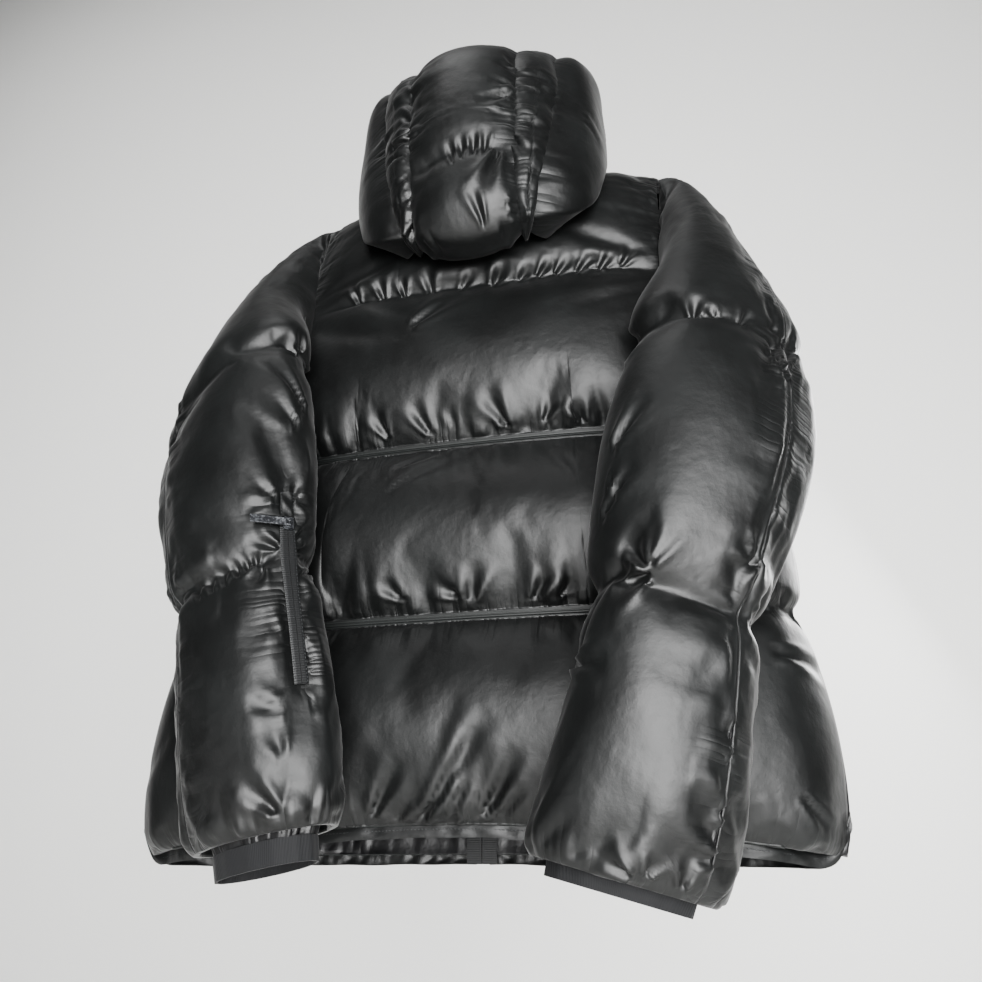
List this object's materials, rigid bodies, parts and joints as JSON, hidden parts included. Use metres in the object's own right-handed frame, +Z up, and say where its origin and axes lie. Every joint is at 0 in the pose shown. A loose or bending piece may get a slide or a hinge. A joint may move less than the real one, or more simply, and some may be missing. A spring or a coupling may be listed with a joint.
{
  "type": "hooded puffer jacket",
  "caption": "Hooded padded jacket in glossy black nylon, filled out with no wearer, with horizontal baffles, a drooping quilted hood and a zip pocket on one sleeve.",
  "frame": {"origin": "middle of the neck opening at the height of the back neck seam, where the wearer's shoulders and neck carry the jacket, or the hook of a hanger would rise", "axes": "+Z up, -Y the way the wearer would face, +X the wearer's left"},
  "size_m": [0.6781, 0.296, 0.9797],
  "materials": {
    "shell": "glossy calendered nylon over down filling",
    "inner_cuff": "gathered matt nylon",
    "cuff_tape": "flat woven band",
    "zip_tape": "smooth coated zip tape",
    "zip_metal": "black lacquered zinc"
  },
  "bodies": {
    "jacket": {"back_panel": "shell", "front_left": "shell", "front_right": "shell", "sleeve_left_back": "shell", "sleeve_left_front": "shell", "sleeve_right_back": "shell", "sleeve_right_front": "shell", "hood_middle": "shell", "hood_strip_left": "shell", "hood_strip_right": "shell", "hood_side_left": "shell", "hood_side_right": "shell", "collar": "shell", "zip_garage": "shell", "storm_cuff_left": "inner_cuff", "storm_cuff_right": "inner_cuff", "cuff_band_left": "cuff_tape", "cuff_band_right": "cuff_tape", "front_zip_left": "zip_tape", "front_zip_right": "zip_tape", "sleeve_zip": "zip_tape", "front_slider": "zip_metal", "sleeve_slider": "zip_metal"},
    "front_pull": {"front_pull": "zip_metal"},
    "sleeve_pull": {"sleeve_pull": "zip_metal"}
  },
  "joints": [
    {"name": "front_pull_swing", "type": "hinge", "parent": "jacket", "child": "front_pull", "pos_m": [-0.02493, -0.07567, 0.01844], "axis": [-0.9965, -0.082, -0.0144], "range_deg": [0, 120]},
    {"name": "sleeve_pull_swing", "type": "hinge", "parent": "jacket", "child": "sleeve_pull", "pos_m": [0.11672, 0.18044, -0.45931], "axis": [0.1681, -0.03, 0.9853], "range_deg": [0, 120]}
  ]
}
